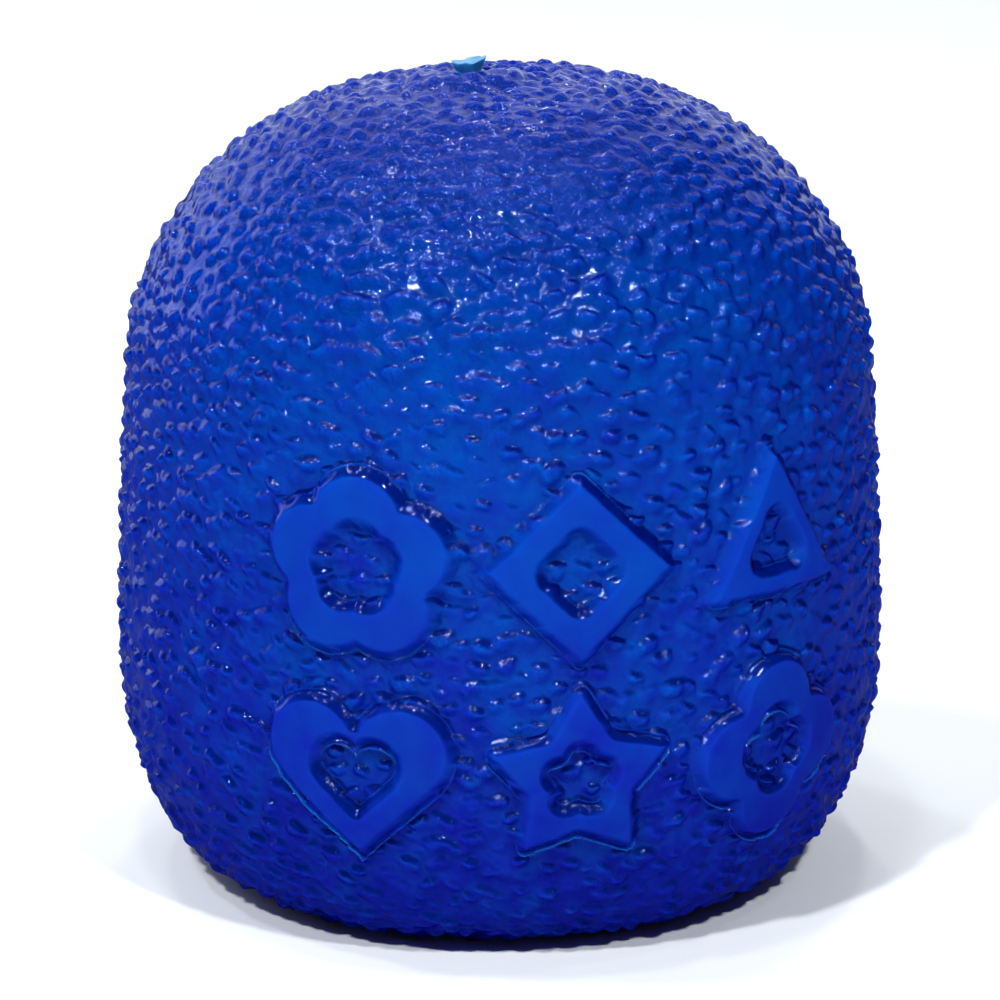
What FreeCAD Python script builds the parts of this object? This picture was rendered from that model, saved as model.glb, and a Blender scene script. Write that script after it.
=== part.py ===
import FreeCAD, Part
import math
import os

import Sketcher

# A gel-filled squeeze toy in the form of a gumdrop: a moulded rubber skin, the gel that fills it,
# the plug that closes its fill port and the bead of adhesive that seals the plug.
# Millimetres, +Z up. The origin is the middle of the flat foot, and the raised figures face -Y.

V = FreeCAD.Vector
doc = FreeCAD.newDocument("squeeze_toy")

# ---- driving dimensions ----------------------------------------------------------------------

SIZES = [
    ("body_dia", 70.0, "widest diameter, at the waist"),
    ("body_height", 72.0, "from the foot to the crown"),
    ("waist_height", 20.0, "height of the widest place"),
    ("foot_dia", 46.0, "the flat it stands on"),
    ("foot_round", 9.5, "radius of the foot's edge"),
    ("wall_bulge", 250.0, "radius of the wall above the waist"),
    ("shoulder_round", 26.0, "radius between wall and crown"),
    ("crown_bulge", 98.0, "radius of the crown"),
    ("skin_wall", 2.5, "thickness of the moulded skin"),
    ("gel_gap", 0.1, "play between the gel and what holds it"),
    ("figure_relief", 1.0, "how far the figures stand out of the skin"),
    ("figure_size", 17.5, "width over a figure's lobes or points"),
    ("core_share", 0.4, "size of a figure's sunken core, as a share of the figure"),
    ("point_round", 0.9, "radius on the figures' points"),
    ("middle_turn", 11.0, "degrees from -Y to the middle column of figures, towards +X"),
    ("column_turn", 31.0, "degrees from one column to the next"),
    ("upper_row", 36.5, "height of the upper row's middle"),
    ("lower_row", 18.0, "height of the lower row's middle"),
    ("port_dia", 5.0, "bore of the fill port"),
    ("port_offset", 2.8, "from the body's axis to the port's, towards -X"),
    ("seal_dia", 7.4, "countersink round the port"),
    ("seal_depth", 0.9, "depth of the countersink"),
    ("seal_rise", 0.15, "how far the bead domes up at the stem"),
    ("fit_gap", 0.1, "play round the plug's stem and the bead"),
    ("flange_dia", 9.0, "the plug's inner flange"),
    ("flange_thick", 1.2, "thickness of that flange"),
    ("flange_gap", 0.2, "play between the flange and the skin above it"),
    ("nib_foot_dia", 1.9, "the nib where it leaves the stem"),
    ("nib_tip_dia", 3.1, "the nib's snipped end"),
    ("nib_height", 1.6, "how far the nib stands up"),
]

sheet = doc.addObject("Spreadsheet::Sheet", "Sizes")
for row, (alias, value, note) in enumerate(SIZES, start=1):
    sheet.set(f"A{row}", alias)
    sheet.set(f"B{row}", str(value))
    sheet.set(f"C{row}", note)
    sheet.setAlias(f"B{row}", alias)
doc.recompute()


def value_of(expression):
    """The number that an expression on the sheet's cells gives now."""
    return float(sheet.evalExpression(expression))


# ---- sketching helpers -----------------------------------------------------------------------


def new_body(label):
    body = doc.addObject("PartDesign::Body", label)
    body.Label = label
    return body


def new_sketch(body, name, plane="XZ_Plane", offset=None):
    """A sketch on one of the body's origin planes, lifted off it by an expression."""
    sketch = body.newObject("Sketcher::SketchObject", name)
    base = next(o for o in body.Origin.OriginFeatures if o.Role == plane)
    sketch.AttachmentSupport = [(base, "")]
    sketch.MapMode = "FlatFace"
    if offset:
        sketch.setExpression("AttachmentOffset.Base.z", offset)
    return sketch


def hold(sketch, kind, *where, size):
    """Adds a dimension to the sketch and ties it to the sheet."""
    index = sketch.addConstraint(Sketcher.Constraint(kind, *where, value_of(size)))
    sketch.setExpression(f"Constraints[{index}]", size)


def draw_outline(sketch, corners):
    """A closed outline of straight lines, each corner held by two expressions."""
    points = [V(value_of(x), value_of(y), 0) for x, y in corners]
    lines = [
        sketch.addGeometry(Part.LineSegment(a, b), False)
        for a, b in zip(points, points[1:] + points[:1])
    ]
    for line, following in zip(lines, lines[1:] + lines[:1]):
        sketch.addConstraint(Sketcher.Constraint("Coincident", line, 2, following, 1))
    for line, (x, y) in zip(lines, corners):
        hold(sketch, "DistanceX", -1, 1, line, 1, size=x)
        hold(sketch, "DistanceY", -1, 1, line, 1, size=y)


def revolve(body, sketch):
    turned = body.newObject("PartDesign::Revolution", body.Label + "_turned")
    turned.Profile = sketch
    turned.ReferenceAxis = (sketch, ["V_Axis"])
    turned.Angle = 360
    body.Tip = turned


# ---- the gumdrop form ------------------------------------------------------------------------


def polar(centre, radius, angle):
    return centre + V(radius * math.cos(angle), radius * math.sin(angle), 0)


def draw_gumdrop(sketch, inset):
    """Half the gumdrop's outline, everywhere the same distance inside the skin's outer face.

    Flat foot, foot round, wall below the waist, wall above it, shoulder and crown: five tangent
    arcs on one line. The radius of the wall below the waist follows from its neighbours.
    """
    waist = V(value_of(f"Sizes.body_dia / 2 - ({inset})"), value_of("Sizes.waist_height"), 0)
    top = V(0, value_of(f"Sizes.body_height - ({inset})"), 0)
    foot_r = value_of(f"Sizes.foot_round - ({inset})")
    wall_r = value_of(f"Sizes.wall_bulge - ({inset})")
    shoulder_r = value_of(f"Sizes.shoulder_round - ({inset})")
    crown_r = value_of(f"Sizes.crown_bulge - ({inset})")

    foot_c = V(value_of("Sizes.foot_dia / 2"), value_of("Sizes.foot_round"), 0)
    across, up = waist.x - foot_c.x, waist.y - foot_c.y
    low_r = (across**2 + up**2 - foot_r**2) / (2 * (across - foot_r))
    low_c = waist - V(low_r, 0, 0)
    wall_c = waist - V(wall_r, 0, 0)
    crown_c = top - V(0, crown_r, 0)

    # The shoulder touches the wall and the crown from inside, so its centre is known from two
    # distances: to the wall's centre and to the crown's.
    to_wall, to_crown = wall_r - shoulder_r, crown_r - shoulder_r
    apart = crown_c - wall_c
    along = (to_wall**2 - to_crown**2 + apart.Length**2) / (2 * apart.Length)
    off = math.sqrt(to_wall**2 - along**2)
    ahead = V(apart).normalize()
    shoulder_c = wall_c + ahead * along + V(-ahead.y, ahead.x, 0) * off
    if shoulder_c.x < 0:
        shoulder_c = wall_c + ahead * along - V(-ahead.y, ahead.x, 0) * off

    def bearing(start, end):
        return math.atan2(end.y - start.y, end.x - start.x)

    foot_turn = bearing(low_c, foot_c)
    wall_turn = bearing(wall_c, shoulder_c)
    crown_turn = bearing(crown_c, shoulder_c)
    arcs = [
        (foot_c, foot_r, -math.pi / 2, foot_turn),
        (low_c, low_r, foot_turn, 0),
        (wall_c, wall_r, 0, wall_turn),
        (shoulder_c, shoulder_r, wall_turn, crown_turn),
        (crown_c, crown_r, crown_turn, math.pi / 2),
    ]
    base_start = V(0, foot_c.y - foot_r, 0)
    base_end = polar(foot_c, foot_r, -math.pi / 2)
    base = sketch.addGeometry(Part.LineSegment(base_start, base_end), False)
    foot, low, wall, shoulder, crown = [
        sketch.addGeometry(Part.ArcOfCircle(Part.Circle(c, V(0, 0, 1), r), start, end), False)
        for c, r, start, end in arcs
    ]
    axis = sketch.addGeometry(Part.LineSegment(top, base_start), False)

    for first, second in zip((base, foot, low, wall, shoulder), (foot, low, wall, shoulder, crown)):
        sketch.addConstraint(Sketcher.Constraint("Tangent", first, 2, second, 1))
    sketch.addConstraint(
        [
            Sketcher.Constraint("Horizontal", base),
            Sketcher.Constraint("PointOnObject", base, 1, -2),
            Sketcher.Constraint("Horizontal", low, 3, low, 2),
            Sketcher.Constraint("PointOnObject", crown, 3, -2),
            Sketcher.Constraint("PointOnObject", crown, 2, -2),
            Sketcher.Constraint("Coincident", axis, 1, crown, 2),
            Sketcher.Constraint("Coincident", axis, 2, base, 1),
        ]
    )
    hold(sketch, "DistanceX", base, 1, base, 2, size="Sizes.foot_dia / 2")
    hold(sketch, "DistanceY", base, 1, crown, 2, size=f"Sizes.body_height - 2 * ({inset})")
    hold(sketch, "DistanceY", -1, 1, crown, 2, size=f"Sizes.body_height - ({inset})")
    hold(sketch, "DistanceX", -1, 1, low, 2, size=f"Sizes.body_dia / 2 - ({inset})")
    hold(sketch, "DistanceY", -1, 1, low, 2, size="Sizes.waist_height")
    hold(sketch, "Radius", foot, size=f"Sizes.foot_round - ({inset})")
    hold(sketch, "Radius", wall, size=f"Sizes.wall_bulge - ({inset})")
    hold(sketch, "Radius", shoulder, size=f"Sizes.shoulder_round - ({inset})")
    hold(sketch, "Radius", crown, size=f"Sizes.crown_bulge - ({inset})")


def gumdrop(label, inset):
    body = new_body(label)
    sketch = new_sketch(body, label + "_outline")
    draw_gumdrop(sketch, inset)
    revolve(body, sketch)
    return body


# ---- the raised figures ----------------------------------------------------------------------
# Plain figures in two rows of three, each with a sunken core of its own form. A figure is padded
# outwards from inside the body, and only what lies within the relief of the skin is kept.

LOBE_REACH = 0.24  # a lobe's middle from the figure's, as a share of the figure's size
LOBE_WIDTH = 0.26  # a lobe's radius, as the same share
HEART_LOBE = (0.23, 0.13)  # the middle of a heart's lobe, as shares of its size
HEART_WIDTH = 0.27
HEART_POINT = 0.46


def draw_lobes(sketch, size, count):
    """A blossom's or clover's edge: arcs that meet in notches."""
    reach, width = value_of(size) * LOBE_REACH, value_of(size) * LOBE_WIDTH
    step = 2 * math.pi / count
    notch = reach * math.cos(step / 2) + math.sqrt(width**2 - (reach * math.sin(step / 2)) ** 2)
    arcs = []
    for number in range(count):
        turn = math.pi / 2 + number * step
        middle = polar(V(0, 0, 0), reach, turn)
        start, end = [polar(V(0, 0, 0), notch, turn + side * step / 2) - middle for side in (-1, 1)]
        circle = Part.Circle(middle, V(0, 0, 1), width)
        span = (math.atan2(start.y, start.x), math.atan2(end.y, end.x))
        arc = sketch.addGeometry(Part.ArcOfCircle(circle, *span), False)
        hold(sketch, "DistanceX", -1, 1, arc, 3, size=f"{size} * {LOBE_REACH * math.cos(turn):.6f}")
        hold(sketch, "DistanceY", -1, 1, arc, 3, size=f"{size} * {LOBE_REACH * math.sin(turn):.6f}")
        hold(sketch, "Radius", arc, size=f"{size} * {LOBE_WIDTH}")
        arcs.append(arc)
    for arc, following in zip(arcs, arcs[1:] + arcs[:1]):
        sketch.addConstraint(Sketcher.Constraint("Coincident", arc, 2, following, 1))


def draw_corners(sketch, size, count, reach, waist=None):
    """A regular figure with its first corner up, or a star where a waist lies between corners."""
    ring = []
    for number in range(count):
        turn = math.pi / 2 + number * 2 * math.pi / count
        ring.append((reach, turn))
        if waist:
            ring.append((waist, turn + math.pi / count))
    corners = [
        (f"{size} * {share * math.cos(turn):.6f}", f"{size} * {share * math.sin(turn):.6f}")
        for share, turn in ring
    ]
    draw_outline(sketch, corners)


def draw_heart(sketch, size):
    """Two lobes that meet in a notch, and two straight sides that run to a point."""
    full = value_of(size)
    right = V(HEART_LOBE[0] * full, HEART_LOBE[1] * full, 0)
    left = V(-right.x, right.y, 0)
    point = V(0, -HEART_POINT * full, 0)
    lobe_r = HEART_WIDTH * full
    down = point - right
    side_turn = math.atan2(down.y, down.x) + math.acos(lobe_r / down.Length)
    notch_turn = math.acos(-right.x / lobe_r)
    normal = V(0, 0, 1)
    spans = [
        (right, side_turn, notch_turn),
        (left, math.pi - notch_turn, math.pi - side_turn),
    ]
    right_lobe, left_lobe = [
        sketch.addGeometry(Part.ArcOfCircle(Part.Circle(c, normal, lobe_r), start, end), False)
        for c, start, end in spans
    ]
    right_side = sketch.addGeometry(Part.LineSegment(point, polar(right, lobe_r, side_turn)), False)
    left_end = polar(left, lobe_r, math.pi - side_turn)
    left_side = sketch.addGeometry(Part.LineSegment(left_end, point), False)
    sketch.addConstraint(
        [
            Sketcher.Constraint("Tangent", right_side, 2, right_lobe, 1),
            Sketcher.Constraint("Coincident", right_lobe, 2, left_lobe, 1),
            Sketcher.Constraint("Tangent", left_lobe, 2, left_side, 1),
            Sketcher.Constraint("Coincident", left_side, 2, right_side, 1),
            Sketcher.Constraint("PointOnObject", right_side, 1, -2),
        ]
    )
    hold(sketch, "DistanceY", -1, 1, right_side, 1, size=f"-{size} * {HEART_POINT}")
    for lobe, side in ((right_lobe, 1), (left_lobe, -1)):
        hold(sketch, "DistanceX", -1, 1, lobe, 3, size=f"{size} * {side * HEART_LOBE[0]}")
        hold(sketch, "DistanceY", -1, 1, lobe, 3, size=f"{size} * {HEART_LOBE[1]}")
        hold(sketch, "Radius", lobe, size=f"{size} * {HEART_WIDTH}")


def round_upright_edges(body, pad):
    """Rounds the corners of a padded outline of straight lines."""
    doc.recompute()
    upright = [
        f"Edge{number}"
        for number, edge in enumerate(pad.Shape.Edges, start=1)
        if abs(edge.tangentAt(edge.FirstParameter).y) > 0.99
    ]
    rounded = body.newObject("PartDesign::Fillet", body.Label + "_points")
    rounded.Base = (pad, upright)
    rounded.setExpression("Radius", "Sizes.point_round")
    body.Tip = rounded


def figure(label, column, row, draw, cornered, **form):
    """One figure with its core cut out, in the given column (-1, 0 or 1) and row of the front."""
    body = new_body(label)
    sketch = new_sketch(body, label + "_outline", offset="Sizes.body_dia / 4")
    draw(sketch, "Sizes.figure_size", **form)
    draw(sketch, "Sizes.figure_size * Sizes.core_share", **form)
    pad = body.newObject("PartDesign::Pad", label + "_pad")
    pad.Profile = sketch
    pad.setExpression("Length", "Sizes.body_dia / 2")
    body.Tip = pad
    if cornered:
        round_upright_edges(body, pad)
    body.Placement = FreeCAD.Placement(V(0, 0, 0), FreeCAD.Rotation(V(0, 0, 1), 1))
    body.setExpression("Placement.Base.z", f"Sizes.{row}")
    body.setExpression("Placement.Rotation.Angle", f"Sizes.middle_turn + {column} * Sizes.column_turn")
    return body


figures = [
    figure("blossom", -1, "upper_row", draw_lobes, False, count=5),
    figure("diamond", 0, "upper_row", draw_corners, True, count=4, reach=0.5),
    figure("triangle", 1, "upper_row", draw_corners, True, count=3, reach=0.54),
    figure("heart", -1, "lower_row", draw_heart, False),
    figure("star", 0, "lower_row", draw_corners, True, count=5, reach=0.53, waist=0.3),
    figure("clover", 1, "lower_row", draw_lobes, False, count=4),
]

# ---- the plug, its seal and the form of the port ------------------------------------------------
# Their own frames stand where the port's axis meets the crown. The flange lies under the skin, as
# far down as the crown falls on the way out to the flange's far edge.

PORT_HEIGHT = "Sizes.body_height - Sizes.crown_bulge + sqrt(Sizes.crown_bulge^2 - Sizes.port_offset^2)"


def at_port(body):
    body.setExpression("Placement.Base.x", "-Sizes.port_offset")
    body.setExpression("Placement.Base.z", PORT_HEIGHT)


def turned_piece(label, corners):
    """A piece turned from straight lines round the port's axis."""
    body = new_body(label)
    sketch = new_sketch(body, label + "_outline")
    draw_outline(sketch, corners)
    revolve(body, sketch)
    at_port(body)
    return body


PORT_R = "Sizes.port_dia / 2"
SEAL_R = "Sizes.seal_dia / 2"
STEM_R = "Sizes.port_dia / 2 - Sizes.fit_gap"
INNER_CROWN = "(Sizes.crown_bulge - Sizes.skin_wall)"
FLANGE_REACH = "(Sizes.port_offset + Sizes.flange_dia / 2)"
CROWN_FALL = f"({INNER_CROWN} - sqrt({INNER_CROWN}^2 - {FLANGE_REACH}^2))"
FLANGE_TOP = f"-Sizes.skin_wall - {CROWN_FALL} - Sizes.flange_gap"
FLANGE_FOOT = f"{FLANGE_TOP} - Sizes.flange_thick"

port_form = turned_piece(
    "port_form",
    [
        ("0", "-2 * Sizes.skin_wall"),
        (PORT_R, "-2 * Sizes.skin_wall"),
        (PORT_R, "-Sizes.seal_depth"),
        (SEAL_R, "0"),
        (SEAL_R, "Sizes.skin_wall"),
        ("0", "Sizes.skin_wall"),
    ],
)
fill_plug = turned_piece(
    "fill_plug",
    [
        ("0", FLANGE_FOOT),
        ("Sizes.flange_dia / 2", FLANGE_FOOT),
        ("Sizes.flange_dia / 2", FLANGE_TOP),
        (STEM_R, FLANGE_TOP),
        (STEM_R, "0"),
        ("Sizes.nib_foot_dia / 2", "0"),
        ("Sizes.nib_tip_dia / 2", "Sizes.nib_height"),
        ("0", "Sizes.nib_height"),
    ],
)
plug_seal = turned_piece(
    "plug_seal",
    [
        (PORT_R, "-Sizes.seal_depth + Sizes.fit_gap"),
        (SEAL_R + " - Sizes.fit_gap", "0"),
        (PORT_R, "Sizes.seal_rise"),
    ],
)

# ---- the skin ----------------------------------------------------------------------------------

outer_form = gumdrop("outer_form", "0")
relief_form = gumdrop("relief_form", "-Sizes.figure_relief")
cavity_form = gumdrop("cavity_form", "Sizes.skin_wall")

all_figures = doc.addObject("Part::MultiFuse", "all_figures")
all_figures.Shapes = figures
raised = doc.addObject("Part::Common", "raised_figures")
raised.Base = relief_form
raised.Tool = all_figures
solid_form = doc.addObject("Part::Fuse", "solid_form")
solid_form.Base = outer_form
solid_form.Tool = raised
hollow_form = doc.addObject("Part::Cut", "hollow_form")
hollow_form.Base = solid_form
hollow_form.Tool = cavity_form
skin = doc.addObject("Part::Cut", "skin")
skin.Label = "skin"
skin.Base = hollow_form
skin.Tool = port_form

# ---- the gel that fills it ---------------------------------------------------------------------

gel_core = gumdrop("gel_core", "Sizes.skin_wall + Sizes.gel_gap")
recess_sketch = new_sketch(gel_core, "flange_recess_outline", "XY_Plane", PORT_HEIGHT)
rim = recess_sketch.addGeometry(Part.Circle(V(0, 0, 0), V(0, 0, 1), 1), False)
recess_sketch.addConstraint(Sketcher.Constraint("PointOnObject", rim, 3, -1))
hold(recess_sketch, "DistanceX", -1, 1, rim, 3, size="-Sizes.port_offset")
hold(recess_sketch, "Radius", rim, size="Sizes.flange_dia / 2 + Sizes.gel_gap")
recess = gel_core.newObject("PartDesign::Pocket", "flange_recess")
recess.Profile = recess_sketch
recess.setExpression("Length", f"-({FLANGE_FOOT}) + Sizes.gel_gap")
gel_core.Tip = recess

# ---- check and write ---------------------------------------------------------------------------

doc.recompute()
pieces = [skin, gel_core, fill_plug, plug_seal]

for item in doc.Objects:
    if any(state in ("Invalid", "Error") for state in item.State):
        raise RuntimeError(f"{item.Label} failed: {item.State}")
for piece in pieces:
    if piece.Shape.isNull() or not piece.Shape.isValid() or len(piece.Shape.Solids) != 1:
        raise RuntimeError(f"{piece.Label} isn't one valid solid")
if not recess.Shape.Volume < gel_core.Group[1].Shape.Volume:
    raise RuntimeError("the flange's recess cuts nothing")

os.makedirs("parts", exist_ok=True)
for piece in pieces:
    piece.Shape.exportStep(f"parts/{piece.Label}.step")
    box = piece.Shape.BoundBox
    print(
        f"{piece.Label:10} {piece.Shape.Volume / 1000:7.2f} cm3"
        f"  {box.XLength:.2f} x {box.YLength:.2f} x {box.ZLength:.2f} mm"
        f"  z {box.ZMin:.2f} to {box.ZMax:.2f}"
    )
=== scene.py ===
# %% [markdown]
# # A gel-filled squeeze toy in clear blue rubber
#
# The toy is a gumdrop that fits a palm: a skin of clear blue rubber, cast in a mould whose wall is
# pitted all over, so that the rubber comes out pebbled. Six plain figures stand out of its front.
# Gel fills it through a port in the crown, and a rubber plug with a snipped nib closes the port.
#
# This lesson loads the built parts as a fixed frame, models the soft skin, the plug and its seal
# round them, and gives each piece its finish. All that is random comes from one seed, so that each
# run makes the same toy. Blender's noise needs a seed too, because it takes one from the clock.

import math

import bmesh
import bpy
import numpy as np
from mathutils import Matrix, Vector, kdtree, noise
from mathutils.bvhtree import BVHTree


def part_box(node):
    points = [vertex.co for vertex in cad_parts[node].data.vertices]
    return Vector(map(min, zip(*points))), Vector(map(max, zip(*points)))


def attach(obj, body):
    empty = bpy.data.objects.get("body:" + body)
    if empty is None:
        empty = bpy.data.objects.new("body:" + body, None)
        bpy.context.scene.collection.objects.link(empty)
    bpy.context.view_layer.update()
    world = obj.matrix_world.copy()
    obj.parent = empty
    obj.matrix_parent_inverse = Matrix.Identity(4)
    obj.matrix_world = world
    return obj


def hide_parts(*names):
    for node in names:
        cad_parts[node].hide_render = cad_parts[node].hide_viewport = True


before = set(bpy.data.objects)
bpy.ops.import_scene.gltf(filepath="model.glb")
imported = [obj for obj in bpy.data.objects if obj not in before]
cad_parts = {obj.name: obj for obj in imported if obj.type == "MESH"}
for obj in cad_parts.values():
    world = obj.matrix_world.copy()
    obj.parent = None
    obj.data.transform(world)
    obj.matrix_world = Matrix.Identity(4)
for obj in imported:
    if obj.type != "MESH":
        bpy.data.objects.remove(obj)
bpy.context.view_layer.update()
MM = 0.001
SEED = 7
rng = np.random.default_rng(SEED)
noise.seed_set(SEED)

skin_low, skin_high = [np.array(corner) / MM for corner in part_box("skin")]
plug_low, plug_high = [np.array(corner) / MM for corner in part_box("fill_plug")]
print("skin, mm:", (skin_high - skin_low).round(2), "plug, mm:", (plug_high - plug_low).round(2))

# %% [markdown]
# ## The camera
#
# The camera comes first, so that every later step can be looked at. It stands a forearm's length
# away, a little above the toy, and looks at a point just under its middle.

# %% Camera
CAMERA_AWAY = 0.35
CAMERA_RISE = math.radians(16)
CAMERA_AIM = Vector((0.0, 0.0, 0.03285))
LENS = 137.8

camera_data = bpy.data.cameras.new("camera")
camera = bpy.data.objects.new("camera", camera_data)
bpy.context.scene.collection.objects.link(camera)
back = Vector((0, -math.cos(CAMERA_RISE), math.sin(CAMERA_RISE)))
camera.location = CAMERA_AIM + back * CAMERA_AWAY
camera.rotation_euler = back.to_track_quat("Z", "Y").to_euler()
camera_data.lens = LENS
bpy.context.scene.camera = camera
print("camera at", camera.location[:])

# %% [markdown]
# ## The gumdrop's form
#
# The skin is a form of revolution. Its half outline is one straight line and five arcs that run
# into each other: foot round, wall below the waist, wall above it, shoulder and crown. The widest
# radius and the height come from the frame, and the arcs' own radii are set here. A skin could be
# spun from that outline, but a spun mesh crowds its points at the two poles, where pebbles would
# pinch. So the outline becomes a table of radius against direction, and a ball of even triangles is
# drawn out to it.

# %% The outline as arcs
BODY_R = skin_high[1]
HEIGHT = skin_high[2]
WAIST_HEIGHT = 20.0
FOOT_R = 23.0
FOOT_ROUND = 9.5
WALL_BULGE = 250.0
SHOULDER_ROUND = 26.0
CROWN_BULGE = 98.0


def outline_arcs():
    """The five arcs as (centre, radius, first angle, last angle), from the foot to the crown."""
    foot_c = np.array([FOOT_R, FOOT_ROUND])
    across, up = BODY_R - FOOT_R, WAIST_HEIGHT - FOOT_ROUND
    low_r = (across**2 + up**2 - FOOT_ROUND**2) / (2 * (across - FOOT_ROUND))
    low_c = np.array([BODY_R - low_r, WAIST_HEIGHT])
    wall_c = np.array([BODY_R - WALL_BULGE, WAIST_HEIGHT])
    crown_c = np.array([0.0, HEIGHT - CROWN_BULGE])
    to_wall, to_crown = WALL_BULGE - SHOULDER_ROUND, CROWN_BULGE - SHOULDER_ROUND
    apart = crown_c - wall_c
    span = math.hypot(*apart)
    along = (to_wall**2 - to_crown**2 + span**2) / (2 * span)
    off = math.sqrt(to_wall**2 - along**2)
    ahead = apart / span
    shoulder_c = wall_c + ahead * along + np.array([-ahead[1], ahead[0]]) * off

    def bearing(start, end):
        return math.atan2(end[1] - start[1], end[0] - start[0])

    foot_turn = bearing(low_c, foot_c)
    wall_turn = bearing(wall_c, shoulder_c)
    crown_turn = bearing(crown_c, shoulder_c)
    return [
        (foot_c, FOOT_ROUND, -math.pi / 2, foot_turn),
        (low_c, low_r, foot_turn, 0),
        (wall_c, WALL_BULGE, 0, wall_turn),
        (shoulder_c, SHOULDER_ROUND, wall_turn, crown_turn),
        (crown_c, CROWN_BULGE, crown_turn, math.pi / 2),
    ]


for arc_centre, arc_radius, first, last in outline_arcs():
    print("arc", arc_centre.round(2), round(arc_radius, 2), np.degrees([first, last]).round(1))

# %% [markdown]
# The arcs are read off finely and sorted by direction from the gumdrop's middle. `form_at` then
# says, for any direction, where the smooth skin lies and which way it faces.

# %% The form in every direction
MIDDLE_Z = HEIGHT / 2
ARC_STEPS = 200


def form_table():
    """Direction from the middle, radius, height and the two parts of the outward normal."""
    rows = [(r, 0.0, 0.0, -1.0) for r in np.linspace(0, FOOT_R, ARC_STEPS, endpoint=False)]
    for centre, radius, start, end in outline_arcs():
        for turn in np.linspace(start, end, ARC_STEPS):
            facing = (math.cos(turn), math.sin(turn))
            rows.append((centre[0] + radius * facing[0], centre[1] + radius * facing[1], *facing))
    table = np.array(rows)
    direction = np.arctan2(table[:, 1] - MIDDLE_Z, table[:, 0])
    return direction, table


FORM_DIRECTION, FORM = form_table()


def form_at(rays):
    """Points on the smooth skin, and its outward normals, where rays from the middle meet it."""
    across = np.hypot(rays[:, 0], rays[:, 1])
    direction = np.arctan2(rays[:, 2], across)
    r, z, facing_r, facing_z = [np.interp(direction, FORM_DIRECTION, column) for column in FORM.T]
    round_x = np.divide(rays[:, 0], across, out=np.zeros_like(across), where=across > 0)
    round_y = np.divide(rays[:, 1], across, out=np.zeros_like(across), where=across > 0)
    points = np.stack([r * round_x, r * round_y, z], axis=1)
    normals = np.stack([facing_r * round_x, facing_r * round_y, facing_z], axis=1)
    return points, normals / np.linalg.norm(normals, axis=1, keepdims=True)


# %% [markdown]
# ## Where the figures are
#
# The figures are part of the built skin, so they are read from the frame and not drawn again. Each
# raised figure ends in a steep wall. The edge along the top of that wall is found in a merged copy
# of the built skin and brought down to the smooth form, where points are laid along it. A point
# of the new skin is then so many millimetres inside or outside the nearest edge, and one ray
# tells which of the two.

# %% Edges of the raised figures
RELIEF = 1.0
EDGE_STEP = 0.03
EDGE_SLACK = 0.25
EDGE_ANGLE = math.radians(50)
ABOVE_FOOT = 5.0
SAME_POINT = 0.0005


def tree_of(points):
    """A tree that finds the nearest of these points."""
    tree = kdtree.KDTree(len(points))
    for i, point in enumerate(points):
        tree.insert(point, i)
    tree.balance()
    return tree


def built_skin_copy():
    """A merged copy of the built skin in millimetres, to measure and throw away."""
    copy = bmesh.new()
    copy.from_mesh(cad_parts["skin"].data)
    bmesh.ops.scale(copy, verts=copy.verts, vec=(1 / MM,) * 3)
    bmesh.ops.remove_doubles(copy, verts=copy.verts, dist=SAME_POINT)
    return copy


built = built_skin_copy()
built_tree = BVHTree.FromBMesh(built)
edge_points = []
for edge in built.edges:
    if len(edge.link_faces) != 2 or edge.calc_face_angle(0) < EDGE_ANGLE:
        continue
    ends = np.array([vert.co[:] for vert in edge.verts])
    surface, facing = form_at(ends - [0, 0, MIDDLE_Z])
    lift = ((ends - surface) * facing).sum(axis=1)
    if abs(lift - RELIEF).max() < EDGE_SLACK and ends[:, 2].min() > ABOVE_FOOT:
        pieces = max(2, int(edge.calc_length() / EDGE_STEP) + 1)
        shares = np.linspace(0, 1, pieces)[:, None]
        edge_points.extend(surface[0] + (surface[1] - surface[0]) * shares)
built.free()
edge_tree = tree_of(edge_points)
print("points along the figures' edges:", len(edge_points))

# %% [markdown]
# ## Pebbles
#
# The mould was pitted at random, so no two pebbles are alike, but none lies on top of another.
# Darts thrown at the form do the same: each dart that is kept clears all others within a spacing.
# The darts that are left are the pebbles' middles.

# %% Scatter the pebbles
PEBBLE_SPACING = 1.5
DARTS = 40000


def scatter(spacing):
    """Points on the form, at random, none closer to another than the spacing, and the normals."""
    points, normals = form_at(rng.normal(size=(DARTS, 3)))
    tree = tree_of(points)
    free = np.ones(DARTS, dtype=bool)
    kept = []
    for i, point in enumerate(points):
        if free[i]:
            kept.append(i)
            free[[found[1] for found in tree.find_range(point, spacing)]] = False
    return points[kept], normals[kept]


pebbles, pebble_facing = scatter(PEBBLE_SPACING)
pebble_tree = tree_of(pebbles)
print("pebbles:", len(pebbles))

# %% [markdown]
# The pits were struck a little from above, so a pebble has a broad, steep brow on its upper side
# and runs out gently below. Each one has its own size, height and lean, and a slow noise wrings
# the whole pattern, so that no pebble is a neat dome.

# %% Height of the pebbled skin
PEBBLE_UP = 0.52
PEBBLE_SIDE = 1.2
PEBBLE_DOWN = 1.15
PEBBLE_DEPTH = 0.55
PEBBLE_SIZES = (0.65, 1.25)
PEBBLE_LIFTS = (0.35, 1.0)
PEBBLE_LEAN = math.radians(30)
BROW_SQUARE = 3.0
DOME_POWER = 1.5
DOME_SHARE = 0.8
NEIGHBOURS = 4
WANDER = 0.3
WANDER_RATE = 0.9
CREASES = ((0.45, 0.16), (1.2, 0.08))

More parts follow.
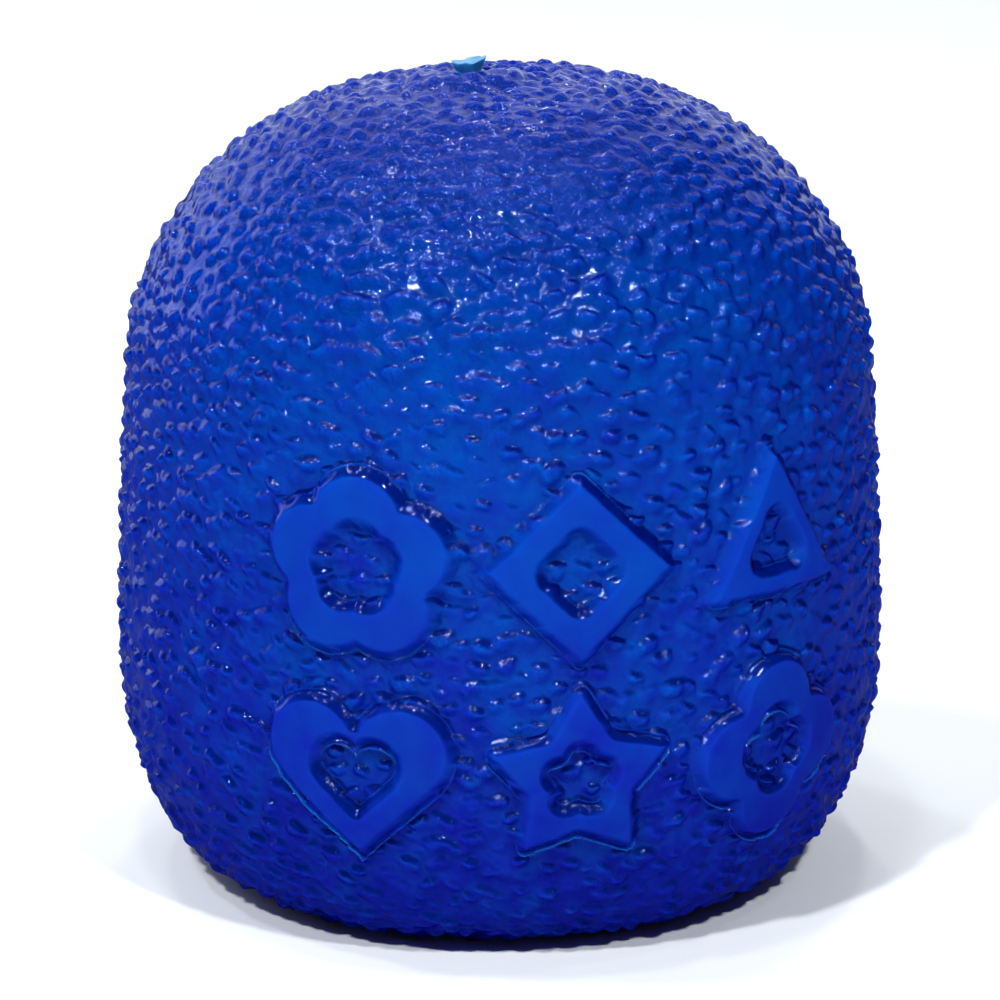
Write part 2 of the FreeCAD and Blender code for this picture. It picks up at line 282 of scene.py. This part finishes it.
pebble_size = rng.uniform(*PEBBLE_SIZES, len(pebbles))
pebble_lift = rng.uniform(*PEBBLE_LIFTS, len(pebbles)) * PEBBLE_DEPTH
lean = rng.uniform(-PEBBLE_LEAN, PEBBLE_LEAN, len(pebbles))
around = np.stack([-pebbles[:, 1], pebbles[:, 0], 0 * lean], axis=1)
around /= np.linalg.norm(around, axis=1, keepdims=True)
upward = np.cross(pebble_facing, around)
pebble_up = upward * np.cos(lean)[:, None] + around * np.sin(lean)[:, None]
pebble_side = np.cross(pebble_up, pebble_facing)


def pebble_height(points):
    """Height over the smooth bed between the pebbles at each point."""
    moved = [Vector(p) + noise.noise_vector(Vector(p) * WANDER_RATE) * WANDER for p in points]
    near = np.array([[found[1] for found in pebble_tree.find_n(p, NEIGHBOURS)] for p in moved])
    offset = np.array(moved)[:, None, :] - pebbles[near]
    up = (offset * pebble_up[near]).sum(axis=2)
    side = (offset * pebble_side[near]).sum(axis=2)
    up_share = abs(up) / np.where(up > 0, PEBBLE_UP, PEBBLE_DOWN) / pebble_size[near]
    side_share = abs(side) / PEBBLE_SIDE / pebble_size[near]
    away = up_share**2 + side_share**BROW_SQUARE
    dome = np.clip(1 - away, 0, 1) ** DOME_POWER * pebble_lift[near]
    height = (dome.max(axis=1) + dome.mean(axis=1)) * DOME_SHARE
    for rate, depth in CREASES:
        height += [depth * noise.noise(Vector(p) * rate) for p in points]
    return height


# %% [markdown]
# ## A ball of even triangles
#
# An icosphere has no poles, but its steps only come in fours. A coarse one whose edges are then
# cut by a grid fill gives any count. The steep walls of the figures need finer triangles than the
# rest, so the edges near them are cut once more.

# %% The ball
BALL_STEPS = 4
BALL_CUTS = 19
WALL_CUTS = 2
WALL_REACH = 1.2


def edge_distance(points):
    """Millimetres to the nearest edge of a figure."""
    return np.array([edge_tree.find(point)[2] for point in points])


def cut(ball, edges, cuts):
    """Cuts these edges and fills the faces between them with even triangles."""
    bmesh.ops.subdivide_edges(ball, edges=edges, cuts=cuts, use_grid_fill=True)
    bmesh.ops.triangulate(ball, faces=ball.faces[:])


ball = bmesh.new()
bmesh.ops.create_icosphere(ball, subdivisions=BALL_STEPS, radius=1.0)
cut(ball, ball.edges[:], BALL_CUTS)
ball.verts.index_update()
on_form, _ = form_at(np.array([vert.co[:] for vert in ball.verts]))
near_wall = edge_distance(on_form) < WALL_REACH
cut(ball, [e for e in ball.edges if all(near_wall[v.index] for v in e.verts)], WALL_CUTS)
skin_mesh = bpy.data.meshes.new("skin_pebbled")
ball.to_mesh(skin_mesh)
ball.free()
print("skin:", len(skin_mesh.vertices), "points,", len(skin_mesh.polygons), "triangles")

# %% [markdown]
# ## The skin
#
# Each point of the ball is drawn out to the form, then moved along its normal: by the height of
# the pebbles, or by the relief where a figure stands out. The walls of the figures rise and round
# off in a smooth step. The whole form sags a little, as a soft toy does, but its foot stays flat,
# and round the port the bed rises over the seal up to the nib.

# %% Shape the skin
FIGURE_WALL = 0.45
FIGURE_SHOULDER = 1.0
FIGURE_LIFT = 0.9
FIGURE_SPAN = 8.0
RAY_START = 3.0
ON_TOP = 0.9 * RELIEF
PEBBLE_BED = 0.3
SAG = 0.35
SAG_RATE = 0.05
NIB_CLEAR = 1.1
NIB_FADE = 1.0
SEAL_REACH = 3.9
SEAL_FADE = 2.0
SEAL_COVER = 0.35


def smooth_step(low, high, value):
    """0 below low, 1 above high, and a soft rise between."""
    share = np.clip((value - low) / (high - low), 0, 1)
    return share * share * (3 - 2 * share)


def figure_share(points, normals):
    """1 on the raised figures and 0 off them, with a smooth wall between."""
    away = -edge_distance(points)
    for i in np.flatnonzero(away > -FIGURE_SPAN):
        start = Vector(points[i] + normals[i] * RAY_START)
        hit = built_tree.ray_cast(start, Vector(-normals[i]), RAY_START)
        if hit[0] and RAY_START - hit[3] > ON_TOP:
            away[i] = -away[i]
    return smooth_step(-FIGURE_WALL, FIGURE_SHOULDER, away)


rays = np.zeros(len(skin_mesh.vertices) * 3)
skin_mesh.vertices.foreach_get("co", rays)
surface, facing = form_at(rays.reshape(-1, 3))
raised = figure_share(surface, facing)
port_x = (plug_low[0] + plug_high[0]) / 2
from_port = np.hypot(surface[:, 0] - port_x, surface[:, 1])
from_port[surface[:, 2] < MIDDLE_Z] = BODY_R
sag = np.array([noise.noise(Vector(point) * SAG_RATE) for point in surface]) * SAG
over_seal = 1 - smooth_step(SEAL_REACH, SEAL_REACH + SEAL_FADE, from_port)
bed = sag * (1 - over_seal) - PEBBLE_BED + over_seal * (PEBBLE_BED + SEAL_COVER)
height = pebble_height(surface)
pebbled = bed + height * smooth_step(NIB_CLEAR, NIB_CLEAR + NIB_FADE, from_port)
lift = pebbled + (FIGURE_LIFT + sag - pebbled) * raised
placed = surface + facing * lift[:, None]
placed[:, 2] = np.maximum(placed[:, 2], 0)
skin_mesh.vertices.foreach_set("co", (placed * MM).ravel())
skin_mesh.polygons.foreach_set("use_smooth", np.ones(len(skin_mesh.polygons), dtype=bool))
skin_mesh.update()
skin = bpy.data.objects.new("skin_pebbled", skin_mesh)
bpy.context.scene.collection.objects.link(skin)
print("lift, mm:", lift.min().round(2), "to", lift.max().round(2))

# %% [markdown]
# A steep brow looks dark, because light from inside the gel leaves the rubber straight out and the
# brow turns it away; here that darkness is painted shade. How far a point tilts up from the smooth
# form, or a little to one side, is kept on the mesh as `brow`, the mask of that painted shade. How
# wrinkled the gloss is there is kept as `wrinkle`: most on the pebbles and the crown, and not at
# all on the figures.

# %% Brows
BROW_SIDEWAYS = 0.4
CROWN_FROM = 0.4
WRINKLE_LEAST = 0.3

turned = np.zeros(len(skin_mesh.vertices) * 3)
skin_mesh.vertex_normals.foreach_get("vector", turned)
tilt = turned.reshape(-1, 3) - facing
sideways = np.stack([-surface[:, 1], surface[:, 0]], axis=1) / BODY_R
# The brow mask marks where the finish paints shade: slopes tilted up, and a little to one side.
brow = np.clip(tilt[:, 2] + BROW_SIDEWAYS * (tilt[:, :2] * sideways).sum(axis=1), 0, 1)
crown = smooth_step(CROWN_FROM, 1, facing[:, 2])
wrinkle = np.clip(height / PEBBLE_DEPTH + crown, WRINKLE_LEAST, 1) * (1 - raised)
for name, values in (("brow", brow), ("wrinkle", wrinkle)):
    skin_mesh.attributes.new(name, "FLOAT", "POINT").data.foreach_set("value", values)
print("brow, by share of points:", np.percentile(brow, [50, 80, 90, 95, 99]).round(2))

# %% [markdown]
# ## The plug
#
# The plug is pushed into the port from inside: a flange holds it there, its stem fills the port,
# and its nib was pulled through and snipped off. It is a turned piece, so its outline is spun
# once round. The snip left the nib's top uneven, which a tilt and some noise do here.

# %% Turn the plug
FLANGE_R = (plug_high[0] - plug_low[0]) / 2
FLANGE_THICK = 1.2
STEM_R = 2.4
NIB_FOOT_R = 0.95
NIB_TIP_R = 1.55
NIB_HEIGHT = 1.6
SEAT_Z = plug_high[2] - NIB_HEIGHT
NIB_SIDE = 0.9
NIB_CUTS = 3
TURN_STEPS = 48
TURN_MERGE = 0.001
NO_AREA = 1e-9
SHARP = math.radians(35)
ROUND = 0.12
SNIP_TILT = 0.15
SNIP_DIP = 0.22
SNIP_NOISE = 0.22
SNIP_RATE = 1.3


def turned_piece(outline):
    """A bmesh in millimetres, spun round the port's axis from its outline."""
    piece = bmesh.new()
    verts = [piece.verts.new((port_x + r, 0, z)) for r, z in outline]
    edges = [piece.edges.new(pair) for pair in zip(verts, verts[1:] + verts[:1])]
    bmesh.ops.spin(
        piece,
        geom=verts + edges,
        cent=(port_x, 0, 0),
        axis=(0, 0, 1),
        angle=2 * math.pi,
        steps=TURN_STEPS,
        use_merge=True,
    )
    bmesh.ops.remove_doubles(piece, verts=piece.verts, dist=TURN_MERGE)
    loose = [face for face in piece.faces if face.calc_area() < NO_AREA]
    bmesh.ops.delete(piece, geom=loose, context="FACES")
    bmesh.ops.recalc_face_normals(piece, faces=piece.faces)
    return piece


def round_off(piece, offset):
    """Rounds the sharp edges of a turned piece."""
    sharp = [e for e in piece.edges if e.is_manifold and e.calc_face_angle() > SHARP]
    bmesh.ops.bevel(
        piece, geom=sharp, offset=offset, affect="EDGES", segments=3, profile=0.5, material=-1
    )


def place_piece(piece, name):
    """Turns a bmesh in millimetres into an object in metres."""
    bmesh.ops.scale(piece, verts=piece.verts, vec=(MM,) * 3)
    mesh = bpy.data.meshes.new(name)
    piece.to_mesh(mesh)
    piece.free()
    mesh.polygons.foreach_set("use_smooth", np.ones(len(mesh.polygons), dtype=bool))
    made = bpy.data.objects.new(name, mesh)
    bpy.context.scene.collection.objects.link(made)
    print(name, len(mesh.polygons), "faces")
    return made


plug_outline = [
    (0, plug_low[2]),
    (FLANGE_R, plug_low[2]),
    (FLANGE_R, plug_low[2] + FLANGE_THICK),
    (STEM_R, plug_low[2] + FLANGE_THICK),
    (STEM_R, SEAT_Z),
    (NIB_FOOT_R, SEAT_Z),
    (NIB_TIP_R, plug_high[2]),
    (NIB_TIP_R / 2, plug_high[2]),
    (0, plug_high[2]),
]
plug = turned_piece(plug_outline)
sides = [e for e in plug.edges if abs(e.verts[0].co.z - e.verts[1].co.z) > NIB_HEIGHT * NIB_SIDE]
bmesh.ops.subdivide_edges(plug, edges=sides, cuts=NIB_CUTS, use_grid_fill=True)
round_off(plug, ROUND)
for vert in plug.verts:
    up = min(1, max(0, (vert.co.z - SEAT_Z) / NIB_HEIGHT))
    vert.co += noise.noise_vector(vert.co * SNIP_RATE) * SNIP_NOISE * up
    across = (vert.co.x - port_x) / NIB_TIP_R
    vert.co.z += up**3 * (SNIP_TILT * across + SNIP_DIP * (across**2 - 1))
plug = place_piece(plug, "fill_plug_snipped")

# %% [markdown]
# ## The seal
#
# A bead of adhesive seals the plug. It was laid round the nib's foot as a drop and crept up the
# nib, as wet glue does, so its outline is a hollow curve from the skin to the nib.

# %% Turn the bead
BEAD_R = 1.9
BEAD_RISE = 0.55
BEAD_DOWN = 0.4
BEAD_STEPS = 6
CREEP_POWER = 2.5
BEAD_NOISE = 0.12
BEAD_RATE = 0.9

bead_shares = np.linspace(0, 1, BEAD_STEPS)
creep = [
    (BEAD_R - (BEAD_R - NIB_FOOT_R) * share, SEAT_Z + SEAL_COVER + BEAD_RISE * share**CREEP_POWER)
    for share in bead_shares
]
under = [(NIB_FOOT_R, SEAT_Z - BEAD_DOWN), (BEAD_R, SEAT_Z - BEAD_DOWN)]
bead = turned_piece(under + creep)
for vert in bead.verts:
    vert.co += noise.noise_vector(vert.co * BEAD_RATE) * BEAD_NOISE
bead = place_piece(bead, "seal_bead")


# %% [markdown]
# ## A pen for shaders
#
# A finish is a small network of nodes. The pen below adds them: a `Wire` is a node's output that
# can be used in a sum, and `Pen.add` makes any other node from its type, its settings and what
# feeds it.

# %% Pen
class Wire:
    """A shader socket that adds its own Math nodes when it is used in an expression."""

    def __init__(self, pen, socket):
        self.pen, self.socket = pen, socket

    def maths(self, operation, first, second):
        return self.pen.add("ShaderNodeMath", {"operation": operation}, [first, second])["Value"]

    def __add__(self, other):
        return self.maths("ADD", self, other)

    def __sub__(self, other):
        return self.maths("SUBTRACT", self, other)

    def __rsub__(self, other):
        return self.maths("SUBTRACT", other, self)

    def __mul__(self, other):
        return self.maths("MULTIPLY", self, other)

    __radd__, __rmul__ = __add__, __mul__


class Pen:
    """Draws nodes into one node tree."""

    def __init__(self, tree):
        self.tree = tree
        tree.nodes.clear()

    def add(self, kind, settings=None, inputs=None):
        """Adds a node, sets it up, feeds it, and returns its outputs by name as wires."""
        node = self.tree.nodes.new(kind)
        for name, value in (settings or {}).items():
            setattr(node, name, value)
        feeds = inputs.items() if isinstance(inputs, dict) else enumerate(inputs or [])
        for name, value in feeds:
            if isinstance(value, Wire):
                self.tree.links.new(value.socket, node.inputs[name])
            else:
                node.inputs[name].default_value = value
        return {output.name: Wire(self, output) for output in node.outputs if output.enabled}

    def place(self):
        return self.add("ShaderNodeTexCoord")["Object"]

    def attribute(self, name):
        return self.add("ShaderNodeAttribute", {"attribute_name": name})["Fac"]

    def cloud(self, scale, detail):
        """Soft noise from 0 to 1 in the piece's own space, by its waves in a metre."""
        feeds = {"Vector": self.place(), "Scale": scale, "Detail": detail}
        return self.add("ShaderNodeTexNoise", None, feeds)["Fac"]

    def ramp(self, value, low, high):
        """0 below low, 1 above high."""
        feeds = {"Value": value, "From Min": low, "From Max": high}
        return self.add("ShaderNodeMapRange", None, feeds)["Result"]

    def blend(self, share, low, high):
        """A colour between two, by a share."""
        feeds = {0: share, 6: low, 7: high}
        return self.add("ShaderNodeMix", {"data_type": "RGBA"}, feeds)["Result"]

    def bump(self, height, strength, depth):
        feeds = {"Height": height, "Strength": strength, "Distance": depth}
        return self.add("ShaderNodeBump", None, feeds)["Normal"]

    def rubber(self, **feeds):
        """One Principled shader, its sockets named with underscores for spaces."""
        sockets = {name.replace("_", " "): value for name, value in feeds.items()}
        return self.add("ShaderNodeBsdfPrincipled", None, sockets)["BSDF"]


def finish(name, draw):
    """A material whose surface is what draw returns for its pen."""
    material = bpy.data.materials.new(name)
    material.use_nodes = True
    pen = Pen(material.node_tree)
    pen.add("ShaderNodeOutputMaterial", None, {"Surface": draw(pen)})
    return material


# %% [markdown]
# ## The skin's finish
#
# The rubber is clear blue, and the gel behind it scatters light, so colour comes from within:
# subsurface light that reaches far in blue, less far in green and hardly at all in red. The blue
# is painted lightest under the shoulder, as painted light from above, and darker towards the foot
# and the crown, as painted shade; a soft cloud varies it. Brows are painted indigo, as painted
# shade. A tinted clear coat lies over it all: seen aslant, light crosses more of it, so the flanks
# go indigo as deep clear rubber does. The surface is glossy, with a fine orange peel that breaks
# each lamp's reflection into small, cool glints. The figures were polished in the mould, so they
# have no peel.

# %% Skin finish
# The three glow blues, spread by height, are painted light and shade: lightest high on the wall,
# darker at the foot and the crown.
GLOW_HIGH = (0.0, 0.23, 0.52, 1.0)
GLOW_LOW = (0.02, 0.045, 0.42, 1.0)
GLOW_CROWN = (0.0, 0.06, 0.24, 1.0)
# SHADE is painted shade, laid on the steep brows.
SHADE = (0.0, 0.025, 0.18, 1.0)
GEL_TINT = (0.28, 0.33, 0.74, 1.0)
GLINT_TINT = (0.7, 0.88, 1.0, 1.0)
CROWN_SHADE_BAND = (0.62, 0.97)
BROW_SHADE_BAND = (0.12, 0.55)
COAT_ROUGH = 0.1
COAT_IOR = 1.12
REACH = (0.2, 0.5, 1.0)
PEEL_DEPTH = 0.0003
SLOW_RATE = 150.0
QUICK_RATE = 480.0
GLOSS_RATE = 400.0
PEEL_RATE = 1500.0
FINE_PEEL_RATE = 3400.0
FINE_PEEL_SHARE = 0.6


def draw_skin(pen):
    high = pen.add("ShaderNodeSeparateXYZ", None, [pen.place()])["Z"] * (1 / MM / HEIGHT)
    slow = (pen.cloud(SLOW_RATE, 2.0) - 0.5) * 0.9
    quick = (pen.cloud(QUICK_RATE, 2.0) - 0.5) * (pen.attribute("wrinkle") * 1.4 + 0.5)
    # Painted light and shade by height, with random clouds on top: lighter high on the wall, darker
    # towards the foot.
    painted_glow = pen.blend(high * 0.9 + slow + quick, GLOW_LOW, GLOW_HIGH)
    # Painted shade: the blue goes darker over the crown.
    painted_glow = pen.blend(pen.ramp(high, *CROWN_SHADE_BAND), painted_glow, GLOW_CROWN)
    # Painted shade: the brows go dark indigo.
    colour = pen.blend(pen.ramp(pen.attribute("brow"), *BROW_SHADE_BAND), painted_glow, SHADE)
    coarse = pen.cloud(PEEL_RATE, 2.0)
    peel = (coarse + pen.cloud(FINE_PEEL_RATE, 1.0) * FINE_PEEL_SHARE) * pen.attribute("wrinkle")
    return pen.rubber(
        Base_Color=colour,
        Roughness=pen.cloud(GLOSS_RATE, 2.0) * 0.06 + 0.02,
        IOR=1.45,
        Specular_Tint=GLINT_TINT,
        Coat_Weight=1.0,
        Coat_Roughness=COAT_ROUGH,
        Coat_IOR=COAT_IOR,
        Coat_Tint=GEL_TINT,
        Subsurface_Weight=1.0,
        Subsurface_Radius=REACH,
        Subsurface_Scale=0.004,
        Normal=pen.bump(peel, 1.0, PEEL_DEPTH),
    )


skin_mesh.materials.append(finish("skin_rubber", draw_skin))
print("skin finish:", len(skin_mesh.materials[0].node_tree.nodes), "nodes")

# %% [markdown]
# ## The small pieces' finishes
#
# The plug is cast in a paler, milky blue rubber, its gloss varied by a cloud. The bead is glassy
# adhesive over the blue. The gel is never seen, but it has its finish too, for anyone who opens
# the toy: a deep, wet blue with slow clouds.

# %% Plug, bead and gel finishes
PLUG_LIGHT = (0.03, 0.2, 0.35, 1.0)
PLUG_DEEP = (0.02, 0.14, 0.28, 1.0)
GEL_LIGHT = (0.0, 0.12, 0.6, 1.0)
GEL_DEEP = (0.0, 0.03, 0.4, 1.0)
PLUG_REACH = (0.3, 0.6, 1.0)
GRAIN_DEPTH = 0.0001


def draw_plug(pen):
    milky = pen.cloud(700.0, 3.0)
    return pen.rubber(
        Base_Color=pen.blend(milky, PLUG_DEEP, PLUG_LIGHT),
        Roughness=milky * 0.3 + 0.2,
        Subsurface_Weight=1.0,
        Subsurface_Radius=PLUG_REACH,
        Subsurface_Scale=0.001,
        Normal=pen.bump(pen.cloud(2500.0, 2.0), 0.3, GRAIN_DEPTH),
    )


def draw_bead(pen):
    clear = pen.cloud(500.0, 2.0)
    return pen.rubber(
        Base_Color=pen.blend(clear, GLOW_LOW, GLOW_HIGH),
        Roughness=clear * 0.1 + 0.03,
        Coat_Weight=0.7,
        Coat_Roughness=COAT_ROUGH,
        Coat_IOR=COAT_IOR,
        Coat_Tint=GEL_TINT,
        Subsurface_Weight=1.0,
        Subsurface_Radius=REACH,
        Subsurface_Scale=0.002,
        Normal=pen.bump(pen.cloud(1200.0, 2.0), 0.3, GRAIN_DEPTH),
    )


def draw_gel(pen):
    slow = pen.cloud(60.0, 3.0)
    return pen.rubber(
        Base_Color=pen.blend(slow, GEL_DEEP, GEL_LIGHT),
        Roughness=slow * 0.1 + 0.05,
        Subsurface_Weight=1.0,
        Subsurface_Radius=REACH,
        Subsurface_Scale=0.006,
        Normal=pen.bump(slow, 0.2, 0.001),
    )


plug.data.materials.append(finish("plug_rubber", draw_plug))
bead.data.materials.append(finish("bead_adhesive", draw_bead))
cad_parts["gel_core"].material_slots[0].material = finish("gel", draw_gel)
print("finishes:", plug.data.materials[0].name, bead.data.materials[0].name, "gel")

# %% [markdown]
# ## Ride and replace
#
# Each new piece moves with the root body, and the built part it stands for is hidden. The skin
# is full of gel.

# %% Ride and replace
for piece, node, slot in (
    (skin, "skin", "skin_rubber"),
    (plug, "fill_plug", "plug_rubber"),
    (bead, "plug_seal", "adhesive"),
):
    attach(piece, "root")
    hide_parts(node)
    print(piece.name, "stands for", node)

# %% [markdown]
# ## Floor and light
#
# The floor is plain and pale. Glossy rubber mirrors the table it stands on, which greys its blue,
# so a photographer lays black card where the camera can't see it. The floor here does the same:
# it is pale to the eye and darker to mirror rays. Further out it fades into the pale backdrop, and
# the room itself gives little light.

# %% Floor and room
FLOOR_PALE = (0.8, 0.75, 0.7, 1.0)
FLOOR_FLAGGED = (0.09, 0.1, 0.2, 1.0)
FLOOR_FADE = (0.4, 0.9)
FLOOR_HALF = 3.0
ROOM_TONE = (0.95, 0.96, 1.0, 1.0)
ROOM_SEEN = 0.97
ROOM_LIGHT = 0.03


def draw_floor(pen):
    pale = pen.add("ShaderNodeBsdfDiffuse", None, {"Color": FLOOR_PALE})["BSDF"]
    flagged = pen.add("ShaderNodeBsdfDiffuse", None, {"Color": FLOOR_FLAGGED})["BSDF"]
    ray = pen.add("ShaderNodeLightPath")
    lit = pen.add("ShaderNodeMixShader", None, [ray["Is Glossy Ray"], pale, flagged])["Shader"]
    far = {"Color": ROOM_TONE, "Strength": ROOM_SEEN}
    backdrop = pen.add("ShaderNodeEmission", None, far)["Emission"]
    away = pen.add("ShaderNodeVectorMath", {"operation": "LENGTH"}, [pen.place()])["Value"]
    faded = pen.ramp(away, *FLOOR_FADE) * ray["Is Camera Ray"]
    return pen.add("ShaderNodeMixShader", None, [faded, lit, backdrop])["Shader"]


pane = bmesh.new()
bmesh.ops.create_grid(pane, x_segments=1, y_segments=1, size=FLOOR_HALF)
floor_mesh = bpy.data.meshes.new("floor")
pane.to_mesh(floor_mesh)
pane.free()
floor_mesh.materials.append(finish("floor", draw_floor))
floor = bpy.data.objects.new("floor", floor_mesh)
bpy.context.scene.collection.objects.link(floor)

world = bpy.data.worlds.new("room")
bpy.context.scene.world = world
world.use_nodes = True
room = Pen(world.node_tree)
seen = room.add("ShaderNodeLightPath")["Is Camera Ray"]
strength = seen * (ROOM_SEEN - ROOM_LIGHT) + ROOM_LIGHT
backdrop = room.add("ShaderNodeBackground", None, {"Color": ROOM_TONE, "Strength": strength})
room.add("ShaderNodeOutputWorld", None, {"Surface": backdrop["Background"]})
print("floor, m across:", 2 * FLOOR_HALF)

# %% [markdown]
# Small, bright lamps in front, above and behind give each pebble its glints. A wide sheet overhead
# keeps the shadows soft, one low behind the toy puts the pale sheen on the crown, and one behind
# its left side lights the lilac rims there.

# %% Lamps
LAMP_AWAY = 0.8
LAMP_SIZE = (0.05, 0.05)
LAMP_TONE = (0.8, 0.9, 1.0)
LAMPS = [
    ("left_lamp", -32, 50, 5.0),
    ("right_lamp", 30, 50, 4.2),
    ("far_left_lamp", -80, 62, 1.2),
    ("far_right_lamp", 76, 62, 0.4),
    ("top_left_lamp", -30, 80, 0.9),
    ("top_right_lamp", 150, 78, 0.9),
    ("back_left_lamp", -140, 62, 0.8),
    ("back_lamp", 180, 52, 0.8),
]
SHEETS = [
    ("overhead_sheet", (-0.2, 0.1, 1.2), (1.0, 1.0), 0.8),
    ("back_sheet", (0, 0.9, 0.5), (1.6, 0.9), 7.0),
    ("left_sheet", (-0.8, 0.6, 0.3), (0.6, 0.7), 4.0),
]


def soft_box(name, place, size, power):
    """A rectangular lamp that faces the toy."""
    data = bpy.data.lights.new(name, "AREA")
    data.shape = "RECTANGLE"
    data.size, data.size_y = size
    data.energy = power
    data.color = LAMP_TONE
    lamp = bpy.data.objects.new(name, data)
    lamp.location = place
    lamp.rotation_euler = (Vector(place) - CAMERA_AIM).to_track_quat("Z", "Y").to_euler()
    bpy.context.scene.collection.objects.link(lamp)


for name, place, size, power in SHEETS:
    soft_box(name, place, size, power)
for name, turn, rise, power in LAMPS:
    side_angle = math.radians(turn)
    rise_angle = math.radians(rise)
    flat = LAMP_AWAY * math.cos(rise_angle)
    height_up = LAMP_AWAY * math.sin(rise_angle)
    place = (flat * math.sin(side_angle), -flat * math.cos(side_angle), height_up)
    soft_box(name, place, LAMP_SIZE, power)
bpy.context.scene.view_settings.view_transform = "Standard"
print("lamps:", len(LAMPS), "sheets:", len(SHEETS))
